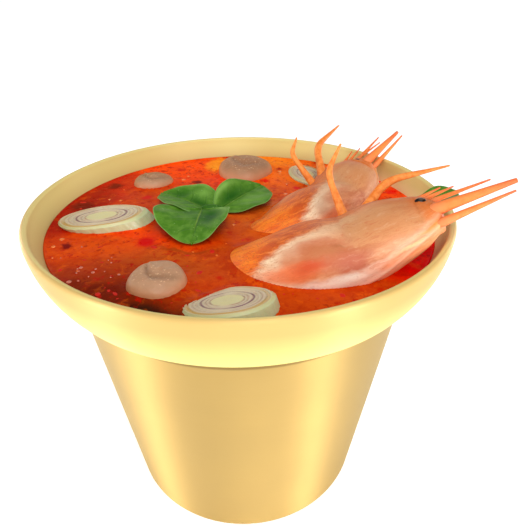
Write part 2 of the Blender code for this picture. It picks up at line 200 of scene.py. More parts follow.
class Shade:
    """A procedural material. Its calls add nodes, and most return an output of the last one."""

    def __init__(self, name, **sockets):
        self.material = bpy.data.materials.new(name)
        self.material.use_nodes = True
        self.tree = self.material.node_tree
        self.shader = self.tree.nodes["Principled BSDF"]
        self.tone = None
        for key, value in sockets.items():
            self.shader.inputs[key.replace("_", " ")].default_value = value

    def node(self, kind, inputs, output=0, **settings):
        made = self.tree.nodes.new("ShaderNode" + kind)
        for key, value in settings.items():
            setattr(made, key, value)
        for key, value in inputs.items():
            self.join(value, made.inputs[key])
        return Value(self, made.outputs[output])

    def join(self, value, socket):
        if isinstance(value, Value):
            self.tree.links.new(value.socket, socket)
        else:
            socket.default_value = value

    def fields(self, *names):
        return [self.node("Attribute", {}, "Fac", attribute_name=name) for name in names]

    def spot(self):
        """Position in millimetres."""
        return self.grown(self.node("TexCoord", {}, "Object"), 1 / MM)

    def vectors(self, operation, a, b):
        return self.node("VectorMath", {0: a, 1: b}, operation=operation)

    def grown(self, vector, amount):
        return self.node("VectorMath", {0: vector, 3: amount}, operation="SCALE")

    def bent(self, vector, size, amount, rough=0.55):
        """vector moved by noise with lumps of about size, to bend a pattern."""
        other = self.noise(vector, size, 3, rough, output="Color")
        centred = self.vectors("SUBTRACT", other, (0.5, 0.5, 0.5))
        return self.vectors("ADD", vector, self.grown(centred, amount))

    def vector(self, x, y=0, z=0):
        return self.node("CombineXYZ", {0: x, 1: y, 2: z})

    def split(self, vector):
        return [self.node("SeparateXYZ", {0: vector}, i) for i in range(3)]

    def noise(self, vector, size, detail=3, rough=0.5, bend=0, output=0):
        """Noise whose lumps are about size millimetres across."""
        return self.node("TexNoise", {"Vector": vector, "Scale": 1 / size, "Detail": detail,
                                      "Roughness": rough, "Distortion": bend}, output)

    def cells(self, vector, size, feature="F1"):
        return self.node("TexVoronoi", {"Vector": vector, "Scale": 1 / size}, "Distance",
                         feature=feature)

    def calc(self, operation, a, b=0, c=0, clamp=False):
        return self.node("Math", {0: a, 1: b, 2: c}, operation=operation, use_clamp=clamp)

    def step(self, value, low, high, start=0, end=1):
        """Smooth step of value from low to high, giving start to end."""
        if low > high:
            low, high, start, end = high, low, end, start
        return self.node("MapRange", {0: value, 1: low, 2: high, 3: start, 4: end},
                         interpolation_type="SMOOTHSTEP")

    def ridge(self, value, centre, width):
        """1 at centre, falling to 0 at width from it."""
        return self.step(self.calc("ABSOLUTE", value - centre), 0, width, 1, 0)

    def blob(self, vector, centre, radii, soft=0.5):
        """1 inside an oval round centre, falling to 0 past its edge."""
        moved = self.vectors("SUBTRACT", vector, (*centre, 0))
        flat = self.vectors("MULTIPLY", moved, (1 / radii[0], 1 / radii[1], 0))
        reach = self.node("VectorMath", {0: flat}, "Value", operation="LENGTH")
        return self.step(reach, 1 - soft, 1 + soft, 1, 0)

    def mix(self, amount, a, b, blend="MIX"):
        """Mix of two colours, each an output or 0 to 255 values."""
        a, b = (linear(value) if isinstance(value, tuple) else value for value in (a, b))
        return self.node("Mix", {0: amount, 6: a, 7: b}, 2, data_type="RGBA", blend_type=blend)

    def tint(self, amount, colour, blend="MIX"):
        self.tone = self.mix(amount, self.tone, colour, blend)

    def finish(self, relief, depth, roughness=None):
        """The material, with relief that is depth millimetres deep for a height of 1."""
        self.join(self.tone, self.shader.inputs["Base Color"])
        if roughness:
            self.join(roughness, self.shader.inputs["Roughness"])
        bump = self.node("Bump", {"Height": relief, "Strength": 1, "Distance": depth * MM})
        self.join(bump, self.shader.inputs["Normal"])
        return self.material


def wet(name, roughness, coat, scatter, radius_mm, **more):
    """A moist surface that lets a little light in."""
    return Shade(name, Roughness=roughness, Coat_Weight=coat, Coat_Roughness=0.12,
                 Subsurface_Weight=scatter, Subsurface_Scale=radius_mm * MM,
                 Subsurface_Radius=(1, 0.45, 0.25), **more)


COLLAR_SHADOW_Z = 103   # painted shade: the metal is darkened above this, under the collar where its shadow falls


def gold_material():
    made = Shade("spun_gold", Anisotropic=0.84, Anisotropic_Rotation=0.25)
    body, height, inner = made.fields("body", "height", "inner")
    where = made.spot()
    x, y, z = made.split(where)
    radius = made.calc("SQRT", x * x + y * y)
    lines = made.noise(made.vector(radius, 0, z), 0.45, 4, 0.6)
    broad = made.noise(where, 26, 2, 0.5)
    # painted light: the collar's colour grows lighter towards its lower edge
    made.tone = made.mix(height, (202, 168, 98), (240, 226, 136))
    made.tint(body, (192, 162, 98))
    # painted shade darkens the wall just above the soup, and painted light lightens it beside the
    # prawns, against their shadow
    low = made.mix(made.step(x, 46, 68), (196, 174, 108), (240, 224, 164))
    well = made.mix(made.step(z, SOUP_Z, SOUP_Z + 7), low, (210, 190, 118))
    made.tint(inner, well)
    # painted shadow: a dark band on the body just under the collar
    collar_shadow = body * made.step(z, COLLAR_SHADOW_Z - 0.6, COLLAR_SHADOW_Z + 0.3)
    made.tint(collar_shadow * 0.9, (136, 108, 60))
    made.tint(broad * 0.2, (236, 200, 120))
    made.join(body * 0.66 + 0.28 + inner * -0.2, made.shader.inputs["Metallic"])
    made.join(made.node("Tangent", {}, direction_type="RADIAL", axis="Z"),
              made.shader.inputs["Tangent"])
    return made.finish(lines, 0.005, lines * 0.06 + (broad * 0.05 + 0.45))


BROTH_ZONES = [
    # middle from the bowl's axis and radii in mm, softness, colour
    ((-36, 56), (28, 20), 0.6, (255, 74, 0)),
    ((-6, 42), (20, 12), 0.6, (240, 62, 4)),
    ((22, 52), (22, 24), 0.6, (250, 110, 12)),
    ((12, 68), (14, 8), 0.5, (252, 134, 26)),
    ((-60, 34), (12, 22), 0.6, (202, 42, 10)),
    ((-67, 2), (9, 34), 0.5, (164, 20, 2)),
    ((-36, -19), (24, 11), 0.6, (240, 62, 0)),
    ((-52, -26), (20, 9), 0.6, (222, 78, 4)),
    ((-20, -35), (22, 9), 0.7, (190, 80, 16)),
    ((6, 8), (13, 24), 0.7, (216, 98, 24)),
    ((-2, -34), (12, 12), 0.6, (192, 68, 12)),
    ((-48, -45), (20, 9), 0.6, (168, 54, 10)),
    ((-42, -58), (28, 12), 0.5, (116, 30, 0)),
    ((-26, -67), (16, 7), 0.5, (54, 22, 6)),
    ((24, -58), (34, 10), 0.6, (204, 70, 8)),
    # painted light: the broth's own deep red, pushed to full red against the prawn's shadow here
    ((64, -30), (18, 20), 0.35, (255, 0, 0)),
    ((68, 26), (12, 14), 0.5, (250, 78, 14)),
    ((-15, 63), (4.5, 9), 0.35, (255, 150, 22)),
]
SUNK_CHILLI = [
    # middle, radius, colour of the larger bits that show through the broth
    ((-67, 11), 4.4, (118, 8, 0)), ((-59, 33), 3.2, (124, 10, 0)),
    ((-34, -21), 3.4, (206, 8, 2)), ((-22, 38), 2.2, (122, 10, 2)),
    ((17, 56), 1.7, (172, 16, 6)), ((24, 31), 1.9, (214, 22, 6)),
    ((10, 40), 1.9, (222, 24, 6)), ((66, 26), 2.4, (232, 12, 4)),
    ((-32, 55), 2.2, (208, 36, 8)), ((-42, 20), 2, (206, 24, 8)),
    ((-62, -24), 2, (122, 12, 4)), ((-48, 62), 1.6, (190, 24, 8)),
]


def broth_material():
    made = wet("oily_broth", 0.24, 0, 0, 1, Specular_IOR_Level=0.04)
    where = made.spot()
    bent = made.bent(where, 16, 17)
    ragged = made.bent(where, 2.6, 4.6, 0.6)
    made.tone = made.mix(made.noise(bent, 6, 4, 0.6), (214, 72, 6), (190, 58, 4))
    for centre, radii, soft, colour in BROTH_ZONES:
        made.tint(made.blob(bent, centre, radii, soft), colour)
    cloud = made.step(made.noise(bent, 7, 5, 0.65), 0.46, 0.66)
    made.tint(cloud * 0.42, (214, 132, 110), "MULTIPLY")
    mottle = made.step(made.noise(ragged, 3.2, 4, 0.62), 0.44, 0.62)
    made.tint(mottle * 0.40, (232, 176, 160), "MULTIPLY")
    pale = made.step(made.noise(ragged, 5, 4, 0.6, 0.6), 0.54, 0.70)
    made.tint(pale * 0.26, (252, 112, 12))
    # shreds and powder of chilli under the surface, in drifts
    drift = made.step(made.noise(where, 15, 2), 0.42, 0.62)
    shreds = made.step(made.noise(ragged, 3, 3, 0.55), 0.575, 0.65)
    made.tint((drift * 0.8 + 0.2) * (shreds * 0.85), (180, 8, 0))
    grit = made.step(made.noise(ragged, 1.8, 2, 0.5), 0.60, 0.70)
    made.tint(grit * (drift * 0.4 + 0.1), (140, 8, 0))
    for size, reach, share, colour in ((5.6, 0.30, 0.75, (188, 18, 0)),
                                       (3.8, 0.28, 0.60, (146, 12, 0))):
        specks = made.step(made.cells(ragged, size), reach, 0.3 * reach)
        some = made.step(made.noise(where, 4.3 * size, 1), 0.44, 0.56)
        made.tint(specks * some * share, colour)
    for centre, radius, colour in SUNK_CHILLI:
        made.tint(made.blob(ragged, centre, (radius, radius)), colour)
    fold = made.blob(bent, (-19, -27), (10, 0.9), 0.6)
    made.tint(fold * 0.5, (136, 56, 12))
    return made.finish(made.noise(bent, 3.2), 0.10,
                       made.noise(where, 5, 4, 0.6, 0.8) * 0.2 + 0.2)


def mushroom_material():
    made = wet("straw_mushroom_flesh", 0.5, 0.05, 0.15, 1.2, Specular_IOR_Level=0.35)
    crease, height = made.fields("crease", "height")
    where = made.spot()
    made.tone = made.mix(made.noise(where, 3.2, 4, 0.6, 0.3), (166, 122, 88), (190, 146, 112))
    # the far caps are greyer
    far = made.step(made.split(where)[1], 24, 44)
    made.tint(far, (226, 214, 202), "MULTIPLY")
    made.tint(made.step(height, 0.72, 0.15) * 0.8, (196, 132, 92))
    # painted shade: the crease is darkened
    made.tint(crease * 0.75, (138, 98, 68))
    # painted highlights: small light flecks on the top of each cap
    painted_glint = made.step(made.noise(where, 0.9, 2, 0.6), 0.60, 0.70)
    painted_glint = painted_glint * made.step(height, 0.55, 0.85)
    made.tint(painted_glint * 0.6, (236, 196, 156))
    return made.finish(made.noise(where, 1.4, 3, 0.55), 0.16)


SHEATH_LINES = [
    # place from the middle (0) to the edge (1), width, strength, colour
    (0.37, 0.03, 0.7, (156, 112, 92)), (0.46, 0.03, 0.5, (162, 122, 110)),
    (0.57, 0.045, 0.95, (122, 78, 88)), (0.66, 0.02, 0.4, (168, 134, 116)),
    (0.76, 0.03, 0.45, (156, 114, 98)), (0.86, 0.03, 0.6, (180, 140, 84)),
]


def lemongrass_material():
    made = wet("lemongrass_cut", 0.5, 0.12, 0.18, 1)
    rho, turn, wall = made.fields("rho", "turn", "wall")
    sine, cosine = made.calc("SINE", turn), made.calc("COSINE", turn)
    grain = made.noise(made.vector(rho * 26, sine * 1.6, cosine * 1.6), 1.2, 4, 0.6)
    made.tone = made.mix(grain, (184, 164, 132), (212, 196, 164))
    made.tint(made.step(rho, 0.40, 0.30), (208, 198, 144))
    for centre, width, strength, colour in SHEATH_LINES:
        line = made.ridge(grain * 0.03 + rho, centre + 0.015, width)
        made.tint(line * strength, colour)
    near = made.step(sine, 0.2, -0.6, 0.25, 1)
    made.tint(made.ridge(rho, 0.90, 0.08) * near, (188, 148, 66))
    made.tint(made.step(rho, 0.95, 0.99), (196, 194, 140))
    fibre = made.noise(made.vector(turn * 6), 0.5, 3, 0.6)
    made.tint(wall, made.mix(fibre, (178, 184, 134), (208, 208, 164)))
    return made.finish(grain * 0.6 + made.noise(made.spot(), 0.7, 2), 0.12)


VEINS, VEIN_BOW, VEIN_OFFSET = 3.6, 0.34, 0.45   # side veins of a leaf, and how they lie


def basil_material():
    made = wet("basil_leaf_skin", 0.46, 0, 0, 0.6, Specular_IOR_Level=0.16)
    along, aside, hollow_shade, pale = made.fields("leaf_t", "leaf_s", "hollow_shade", "pale")
    where = made.spot()
    out = made.calc("ABSOLUTE", aside)
    mottle = made.noise(where, 3.4, 4, 0.6, 0.4)
    made.tone = made.mix(made.step(mottle, 0.35, 0.65), (66, 114, 16), (92, 137, 40))
    fine = made.noise(where, 0.8, 3, 0.6)
    made.tint(fine * 0.3, (52, 100, 26))
    uneven = made.calc("MULTIPLY_ADD", mottle, 0.5, 0.6, clamp=True)
    # painted shade: the hollows are darkened
    made.tint(hollow_shade * uneven, (24, 82, 0))
    # painted light: pale patches where the leaf's edges and curves face the light
    made.tint(pale, (130, 172, 80))
    # a few side veins leave the midrib and bend towards the tip
    phase = (along - made.calc("POWER", out, 1.5) * VEIN_BOW) * VEINS
    phase = phase + made.step(aside, -0.01, 0.01) * VEIN_OFFSET
    part = made.calc("ABSOLUTE", made.calc("FRACT", phase) - 0.5)
    part = (fine - 0.5) * 0.03 + part
    vein = made.step(part, 0.055, 0) * made.step(out, 0.85, 0.35)
    made.tint(vein * 0.5, (46, 92, 14))
    # painted shade: a dark line beside the midrib, where the leaf folds
    fold = made.ridge(aside, 0.05, 0.06) * made.step(along, 0.9, 0.5)
    made.tint(fold * 0.6, (34, 78, 6))
    rib = made.step(out, 0.025, 0.01) * made.step(along, 0.8, 0.4)
    made.tint(rib * 0.6, (128, 160, 52))
    made.tint(made.step(out, 0.965, 1, 0, 0.6), (134, 176, 100))
    dots = made.step(made.cells(where, 1.5), 0.20, 0.10)
    dots = dots * made.step(made.noise(where, 6, 1), 0.5, 0.62)
    made.tint(dots * 0.4, (150, 188, 118))
    net = made.cells(where, 0.9, "DISTANCE_TO_EDGE")
    return made.finish(net * 0.35 + vein * -0.8, 0.12, mottle * 0.14 + 0.38)


PRAWN_ZONES = [
    # place along the shell and round it, radii, softness, colour, strength
    ((37, 21), (13, 7.5), 0.6, (228, 164, 122), 0.75),
    ((24, 14), (9, 2.6), 0.7, (204, 118, 84), 0.6),
    ((24, 9.4), (8.4, 5), 0.6, (198, 98, 52), 0.85),
    ((15, 5), (6.5, 3.4), 0.6, (246, 122, 66), 0.85),
    ((18.6, 5.2), (4.4, 2), 0.9, (234, 104, 52), 0.75),
    ((21.6, 6.6), (3.2, 1.9), 0.8, (212, 74, 24), 0.9),
    ((26, 11.6), (4.6, 2.2), 0.8, (192, 114, 70), 0.7),
    ((28.6, 13.4), (2, 0.5), 0.8, (160, 84, 44), 0.4),
    ((32, 6), (5.5, 4.5), 0.7, (200, 100, 74), 0.8),
    ((33, 3), (6, 1.6), 0.7, (186, 84, 62), 0.35),
    # painted light: the belly edge is the shell's own paler colour, lightened further against the
    # shade under its curve
    ((28, -3.4), (13, 4.4), 0.5, (255, 238, 222), 1),
    ((39, -5.5), (8, 4.6), 0.6, (255, 198, 170), 0.9),
    ((52, -4), (8, 3.6), 0.6, (255, 170, 116), 0.8),
    ((38, 1.6), (6, 1.3), 0.6, (250, 196, 172), 0.7),
    ((46, 6.5), (7, 3.6), 0.7, (238, 168, 132), 0.7),
    ((45, 15), (9, 6), 0.7, (226, 146, 96), 0.75),
    ((47, -0.5), (9, 2.6), 0.6, (250, 136, 84), 0.8),
    ((47.5, 2), (4.6, 0.8), 0.7, (255, 200, 140), 0.6),
    ((56, 5.6), (5, 1.4), 0.6, (252, 152, 62), 0.8),
    ((58.5, 4.5), (2.4, 1.6), 0.6, (246, 178, 74), 0.7),
    ((60.2, -3.4), (2.6, 3), 0.6, (236, 124, 66), 0.8),
    ((52, 12), (6, 4), 0.6, (230, 158, 112), 0.6),
    ((53, 27), (7, 6), 0.6, (228, 134, 74), 0.75),
    ((60.5, 19), (7, 16), 0.5, (236, 122, 50), 0.95),
    ((43, 30), (9, 4), 0.6, (236, 138, 84), 0.7),
    ((20, 45), (30, 12), 0.5, (234, 150, 108), 0.7),
]


def prawn_material():
    made = wet("cooked_prawn_shell", 0.42, 0, 0.10, 1.2, Specular_IOR_Level=0.3)
    along, turn, limb, ridge, patch = made.fields("along", "turn", "limb", "ridge", "patch")
    where = made.spot()
    # flat map of the shell: along it, and round it from the back (0) to the belly (50)
    bent = made.bent(made.vector(along, turn), 7, 6.5)
    x, y, _ = made.split(bent)
    streaky = made.noise(made.vectors("MULTIPLY", bent, (0.35, 1, 1)), 2.4, 5, 0.62, 0.4)
    strong = made.step(streaky, 0.36, 0.64)
    made.tone = made.mix(strong, (208, 116, 70), (236, 160, 114))
    # the rear is orange; a cream band crosses the shell, swinging forward on the upper flank
    rise = made.calc("MAXIMUM", y - 6, 0)
    slant = x - 8 - rise * rise * 0.065
    flow = made.vector(y * 0.25 + x * 0.30, y - x * 0.12)
    lines = made.noise(flow, 2.4, 5, 0.62)
    wander = lines * 6 + (slant - 3)
    bright = made.mix(strong, (240, 98, 4), (255, 132, 22))
    brown = made.mix(strong, (196, 72, 14), (236, 120, 46))
    rear = made.mix(made.step(x - y * 0.2, 3, 12), bright, brown)
    made.tint(made.step(wander, 2.4, -2.4), rear)
    band = made.step(wander, -2.5, 2.5) * made.step(wander, 14, 4)
    fade = made.step(y, 27, 11, 0.6, 1) * made.step(lines, 0.30, 0.60, 0.5, 1)
    made.tint(band * fade, (255, 220, 184))
    for centre, radii, soft, colour, strength in PRAWN_ZONES:
        if 17 < centre[0] < 34 and 2 < centre[1] < 14.5:
            # the red patch, which is weaker on the back prawn
            strength = patch * strength
        made.tint(made.blob(bent, centre, radii, soft) * strength, colour)
    threads = made.noise(made.vectors("MULTIPLY", bent, (0.14, 1, 1)), 1.1, 3, 0.6)
    front = made.step(x, 24, 36, 0.35, 1)
    made.tint(made.step(threads, 0.54, 0.72) * front * 0.22, (252, 208, 176))
    made.tint(made.step(threads, 0.42, 0.30) * front * 0.4, (214, 100, 62))
    dashes = made.noise(made.vectors("MULTIPLY", flow, (1.6, 1, 0)), 0.42, 2, 0.6)
    dashes = made.step(dashes, 0.54, 0.64) * (made.step(slant, 9, -2) * 0.42 + 0.10)
    made.tint(dashes, (166, 66, 12))
    # painted shade: the upper shell is darkened, most on the upper flank, against the light from
    # above
    made.tint(made.step(turn, -2, 3), (238, 246, 244), "MULTIPLY")
    upper = made.step(turn, 3, 12) * made.step(x, 24, 38)
    made.tint(upper, (236, 232, 218), "MULTIPLY")
    veins = made.noise(made.vectors("MULTIPLY", bent, (0.3, 1, 1)), 1.6, 4, 0.65)
    made.tint(made.step(veins, 0.56, 0.68) * 0.28, (176, 84, 52))
    # painted highlight: the keel ridges are lightened
    made.tint(ridge * 0.35, (250, 200, 172))
    # horns and legs; on them ridge tells a leg from a horn
    limbs = made.mix(made.noise(where, 2.2, 3, 0.6), (226, 106, 34), (242, 142, 70))
    limbs = made.mix(made.step(along, 0.36, 0.12), limbs, (226, 128, 74))
    limbs = made.mix(made.step(along, 0.55, 1, 0, 0.6), limbs, (206, 84, 48))
    limbs = made.mix(made.ridge(turn, -0.75, 0.45) * 0.6, limbs, (242, 100, 36))
    limbs = made.mix(made.ridge(turn, 1.9, 0.8) * 0.5, limbs, (206, 98, 48))
    dotted = made.step(made.noise(where, 2.4, 4, 0.65), 0.38, 0.62)
    limbs = made.mix(ridge, limbs, made.mix(dotted, (218, 114, 34), (236, 140, 60)))
    made.tint(limb, limbs)
    pits = made.noise(where, 0.7, 3, 0.6)
    return made.finish(pits * 0.5 + lines, 0.12, streaky * 0.18 + 0.42)


def prawn_eye_material():
    made = wet("prawn_eye", 0.14, 0, 0, 0.8, Specular_IOR_Level=0.25)
    where = made.spot()
    made.tone = made.mix(made.noise(where, 0.7, 3, 0.6), (4, 3, 3), (26, 15, 8))
    made.tint(made.fields("glint")[0], (112, 92, 76))
    return made.finish(made.noise(where, 0.5, 2, 0.5), 0.04)


def speck_material(name, first, second, size, roughness, coat, scatter):
    made = wet(name, roughness, coat, scatter, 0.8, Specular_IOR_Level=0.25)
    where = made.spot()
    made.tone = made.mix(made.noise(where, size, 3, 0.6), first, second)
    return made.finish(made.noise(where, 0.5 * size), 0.05)


# ---- bowl and broth -----------------------------------------------------------------------
RIM_RADIUS, LIP_RADIUS, LIP_CENTRE_Z, LIP_STEPS = 80, 1.3, 130.5, 12
COLLAR_BOTTOM, COLLAR_BULGE = (72.9, 110.2), (79.14, 118.9)
BODY_TOP_RADIUS, BASE_RADIUS, BASE_EDGE = 67.15, 53.3, 1.6
WALL, FLOOR, FLOOR_FILLET = 2.6, 3, 6
SHOULDER_Z, COLLAR_INNER = 106, (71, 111)
AXIS_RADIUS = 0.05   # the innermost ring of a turned form
SOUP_RADIUS = 73.9
GAP = 0.3            # between the broth and the bowl, below the surface
BOWL_STEPS, BROTH_STEPS, BROTH_RINGS = 192, 288, 150
CLIMB, CLIMB_WIDTH, CLIMB_REACH = 0.55, 0.9, 6


def well_profile(inset=0):
    """The inside of the bowl, from the middle of its floor up to the collar's shoulder."""
    slope = (BODY_TOP_RADIUS - BASE_RADIUS) / COLLAR_BOTTOM[1]
    foot = BASE_RADIUS - WALL + (FLOOR + FLOOR_FILLET) * slope
    head = BASE_RADIUS - WALL + SHOULDER_Z * slope
    points = [(AXIS_RADIUS, FLOOR + inset)]
    points += arc((foot - FLOOR_FILLET, FLOOR + FLOOR_FILLET), FLOOR_FILLET - inset, -90, 0, 10)
    points.append((head - inset, SHOULDER_Z + 0.5 * inset))
    points.append((COLLAR_INNER[0] - inset, COLLAR_INNER[1] + 0.5 * inset))
    return points


def turned_points(profile, steps):
    return [(r * cos(2 * pi * k / steps), r * sin(2 * pi * k / steps), z)
            for r, z in profile for k in range(steps)]


def make_bowl(material):
    profile = well_profile()
    profile += between((SOUP_RADIUS, SOUP_Z), (RIM_RADIUS - 2 * LIP_RADIUS, LIP_CENTRE_Z), 4)
    profile += arc((RIM_RADIUS - LIP_RADIUS, LIP_CENTRE_Z), LIP_RADIUS, 180, 0, LIP_STEPS)[1:]
    outside = len(profile)
    profile += bezier((RIM_RADIUS, LIP_CENTRE_Z), COLLAR_BULGE, COLLAR_BOTTOM, 20)[1:]
    # the collar's rounded lower edge, and the step in from it to the body
    profile += arc((COLLAR_BOTTOM[0] - 0.5, COLLAR_BOTTOM[1] + 0.1), 0.5, -30, -90, 3)[1:]
    profile += [(BODY_TOP_RADIUS + 0.4, COLLAR_BOTTOM[1] - 0.2),
                (BODY_TOP_RADIUS, COLLAR_BOTTOM[1] - 0.8)]
    profile += arc((BASE_RADIUS - BASE_EDGE, BASE_EDGE), BASE_EDGE, 0, -90, 8)
    profile.append((AXIS_RADIUS, 0))
    form = Form("body", "height", "inner")
    form.close(len(profile), BOWL_STEPS)
    for number, (r, z) in enumerate(profile):
        body = 1 if r < COLLAR_BOTTOM[0] - 0.6 and number > outside else 0
        # height: the share of painted light that lightens the collar towards its lower edge
        low = interp(z, (COLLAR_BOTTOM[1], 126), (1, 0)) if number >= outside else 0
        inner = 1 if number < outside - LIP_STEPS // 2 else 0
        for point in turned_points([(r, z)], BOWL_STEPS):
            form.add(point, body, low, inner)
    form.add((0, 0, profile[0][1]), 0, 0, 1)
    form.add((0, 0, 0), 1, 0, 0)
    piece("gold_pot", form, material, "bowl")


def ripple(x, y):
    """Height of the broth's surface over its mean."""
    return 0.16 * wave(x, y, 0, 11) + 0.07 * wave(x, y, 0, 4.2, 3)


def make_broth(material, tree):
    """The surface climbs a little at the wall and round each thing that stands in it."""
    outer = SOUP_RADIUS + 0.05
    below = [(SOUP_RADIUS - 0.1, SOUP_Z - 1.2)] + well_profile(GAP)[::-1]
    form = Form()
    form.close(BROTH_RINGS + len(below), BROTH_STEPS)
    for ring in range(1, BROTH_RINGS + 1):
        radius = outer * (ring / BROTH_RINGS) ** 0.85
        wall = exp(-(outer - radius) / CLIMB_WIDTH)
        for x, y, _ in turned_points([(radius, 0)], BROTH_STEPS):
            near = tree.find_nearest(Vector((x, y, SOUP_Z)) * MM, CLIMB_REACH * MM)
            climb = exp(-near[3] / MM / CLIMB_WIDTH) if near[0] is not None else 0
            form.add((x, y, SOUP_Z + ripple(x, y) * (1 - wall) + CLIMB * max(wall, climb)))
    form.points += turned_points(below, BROTH_STEPS)
    form.points += [(0, 0, form.points[0][2]), (0, 0, below[-1][1])]
    piece("broth_surface", form, material, "soup")


# ---- mushrooms ----------------------------------------------------------------------------
MUSHROOMS = {
    # middle x and y, radius, rise, turn of the crease in degrees, depth as a share of width
    "mushroom_back": (-0.3, 52.2, 13.2, 6, 0, 1.10),
    "mushroom_left": (-42.4, 37.6, 9, 3.4, 10, 0.96),
    "mushroom_near": (-24.8, -47.6, 9.4, 4.5, -6, 1.06),
}
MUSHROOM_SINK = 6.5 / 12.9   # depth in the soup as a share of the radius
MUSHROOM_ROWS, MUSHROOM_COLUMNS = 64, 128


def crease_and_lip(a, b, side):
    """One crease from the far left, bending through the middle to the right, and its edge."""
    bow = -0.22 + 2 * max(0, -a) ** 1.5 + 0.12 * max(0, a)
    offset = (b - bow) / 0.17
    fade = max(0, 1 - (side / 0.93) ** 4) * (1 if a > -0.5 else 0)
    fade *= min(1, (a + 0.5) / 0.12) * (1 - 0.5 * max(0, a))
    return bell(offset, 0, 1) * fade, bell(offset, 1.7, 0.8) * fade * (1 if a < 0.1 else 0.4)


def make_mushroom(name, spec, material):
    x0, y0, radius, rise, crease_turn, depth = spec
    turn0 = radians(crease_turn)
    form = Form("crease", "height")
    form.close(MUSHROOM_ROWS - 1, MUSHROOM_COLUMNS)
    for polar, turn in ball_angles(MUSHROOM_ROWS, MUSHROOM_COLUMNS):
        side, c = sin(polar), cos(polar)
        a, b = side * cos(turn), side * sin(turn)
        uneven = 1 + 0.025 * sin(3 * turn + radius) + 0.015 * cos(5 * turn)
        spread = side ** 0.8 if c > 0 else side ** 1.1
        scale = spread / side * uneven * radius
        crease, lip = crease_and_lip(a, b, side)
        x, y = a * scale, depth * b * scale
        if c > 0:
            lumps = 0.30 * wave(x, y, radius, 3.4) + 0.14 * wave(x, y, radius, 1.5, 2)
            top = sqrt(1 - side ** 3)
            z = rise * (top - 0.06 * (1 - side)) - 0.6 * crease + 0.4 * lip
            z += 0.8 * lumps * (1 - side ** 6)
        else:
            z = MUSHROOM_SINK * radius * c
        form.add((x0 + x * cos(turn0) - y * sin(turn0),
                  y0 + x * sin(turn0) + y * cos(turn0), SOUP_Z + z), crease, max(c, 0))
    low = form.points[-1][2]
    form.add((x0, y0, form.points[0][2]), form.fields["crease"][0], 1)
    form.add((x0, y0, low), 0, 0)
    return piece("straw_" + name, form, material, name)


# ---- lemongrass ---------------------------------------------------------------------------
SLICE_THICKNESS, SLICE_EDGE = 5, 0.5
SLICES = {
    # middle x, y and height of the cut face, half length and width, lean of the wall, turn,
    # tilt and its direction in degrees, squareness of the far left edge
    "lemongrass_left": (-54.2, -4.8, 3.2, 17.6, 10, 3.4, 8, 4, 180, 2),
    "lemongrass_near": (-1.9, -60.2, 2.2, 14, 10.4, 1, -3, 13, 127, 1.15),
    "lemongrass_far": (29.8, 43.8, 2.2, 13.6, 7.6, 2, 112, 3, 180, 2),
}
SHEATHS = (0.37, 0.46, 0.57, 0.66, 0.76, 0.86, 0.94)
SLICE_COLUMNS, SLICE_RINGS, SLICE_WALL_ROWS = 160, 90, 14


def make_slice(name, spec, material):
    x0, y0, top, half_length, half_width, lean, turn, tilt, dip_direction, corner = spec
    dip = radians(dip_direction)
    place = (Matrix.Translation((x0, y0, SOUP_Z + top))
             @ Matrix.Rotation(radians(tilt), 4, Vector((-sin(dip), cos(dip), 0)))
             @ Matrix.Rotation(radians(turn), 4, "Z"))
    form = Form("rho", "turn", "wall")
    form.close(SLICE_RINGS + SLICE_WALL_ROWS, SLICE_COLUMNS)

    def add(share, angle, level, wall, bulge=0):
        wobble = 1 + 0.02 * sin(2 * angle + half_length) + 0.012 * sin(5 * angle)
        reach = 1 if wall else 1 - SLICE_EDGE * share / half_width
        if cos(angle) < 0 < sin(angle):
            # the far left of a pointed slice is cut nearly straight
            straight = (abs(cos(angle)) ** corner + sin(angle) ** corner) ** (-1 / corner)
            reach *= 1 + (straight - 1) * share ** 2
        shift = -lean * level / SLICE_THICKNESS
        x = shift + (half_length * share * reach + bulge) * wobble * cos(angle)
        y = (half_width * share * reach + bulge) * wobble * sin(angle)
        form.add((x, y, level), share, angle, wall)

    angles = [2 * pi * k / SLICE_COLUMNS for k in range(SLICE_COLUMNS)]
    for ring in range(1, SLICE_RINGS + 1):
        share = ring / SLICE_RINGS
        for angle in angles:
            ringy = share + 0.012 * sin(3 * angle + 1) + 0.008 * sin(7 * angle)
            level = -0.05 + 0.10 * wave(share * 9, cos(angle), sin(angle), 1.4)
            for number, sheath in enumerate(SHEATHS):
                level -= 0.30 * bell(ringy, sheath, 0.011)
                level += (0.06 if number % 2 else -0.05) * (1 if ringy > sheath else 0)
            level -= SLICE_EDGE * max(0, (share - 0.97) / 0.03) ** 2
            add(share, angle, level, 0)
    for row in range(1, SLICE_WALL_ROWS + 1):
        level = -SLICE_EDGE - (SLICE_THICKNESS - 2 * SLICE_EDGE) * row / SLICE_WALL_ROWS
        for angle in angles:
            ribs = -0.10 + 0.07 * sin(46 * angle) + 0.05 * sin(29 * angle + 1)
            add(1, angle, level, 1, ribs)
    add(0, 0, -0.05, 0)
    add(0, 0, -SLICE_THICKNESS, 1)
    return piece(name + "_slice", form, material, name, place)


